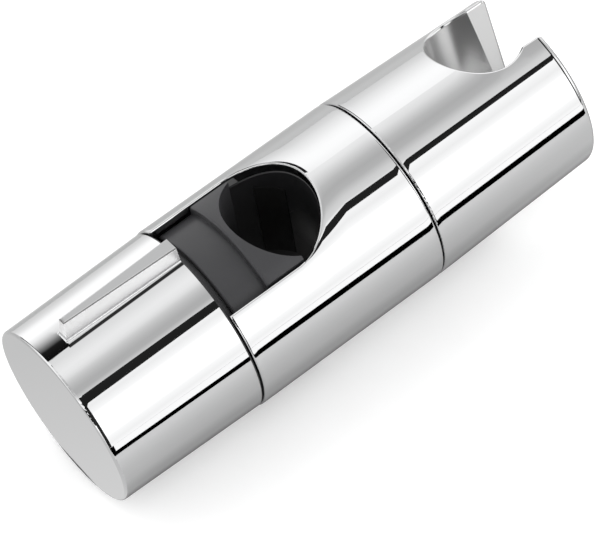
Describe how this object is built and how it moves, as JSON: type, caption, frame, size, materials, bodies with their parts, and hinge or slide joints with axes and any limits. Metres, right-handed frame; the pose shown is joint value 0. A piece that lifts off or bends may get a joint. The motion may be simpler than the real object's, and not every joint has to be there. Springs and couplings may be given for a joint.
{
  "type": "shower rail slider",
  "caption": "Chrome cylinder that clamps to a shower rail: turning knob with lever rib, body with rail opening and grey clamp block, and a turning handset holder.",
  "frame": {"origin": "middle of the rail opening, on the long axis of the cylinder", "axes": "+X along the cylinder from the knob to the handset holder, +Z along the rail, so the part stands as it does on an upright rail"},
  "size_m": [0.118, 0.041, 0.0445],
  "materials": {
    "chrome": "polished plating",
    "black_plastic": "fine moulded",
    "grey_plastic": "satin moulded",
    "white_plastic": "smooth",
    "rubber": "matt",
    "brass": "turned",
    "steel": "bright zinc"
  },
  "bodies": {
    "slider_body": {"body_shell": "chrome", "rail_core": "black_plastic", "rail_pads": "rubber", "pivot_cap": "black_plastic", "core_screws": "steel", "friction_ring": "rubber"},
    "knob": {"knob_shell": "chrome", "knob_core": "black_plastic", "knob_screws": "steel", "knob_glide_ring": "black_plastic", "clamp_spindle": "brass"},
    "clamp_block": {"clamp_block": "grey_plastic", "clamp_nut": "brass"},
    "handset_holder": {"holder_shell": "chrome", "holder_hub": "black_plastic", "hub_insert": "brass", "hub_screws": "steel", "pivot_screw": "steel", "pivot_washer": "steel", "disc_springs": "steel", "thrust_washer": "white_plastic"}
  },
  "joints": [
    {"name": "knob_turn", "type": "hinge", "parent": "slider_body", "child": "knob", "pos_m": [0, 0, 0], "axis": [1, 0, 0], "range_deg": [-315, 0]},
    {"name": "block_slide", "type": "slide", "parent": "slider_body", "child": "clamp_block", "axis": [1, 0, 0], "range_m": [-0.007, 0]},
    {"name": "holder_turn", "type": "hinge", "parent": "slider_body", "child": "handset_holder", "pos_m": [0, 0, 0], "axis": [1, 0, 0], "continuous": true}
  ],
  "couplings": [
    {"joint": "block_slide", "follows": "knob_turn", "m_per_rad": 0.001273}
  ]
}
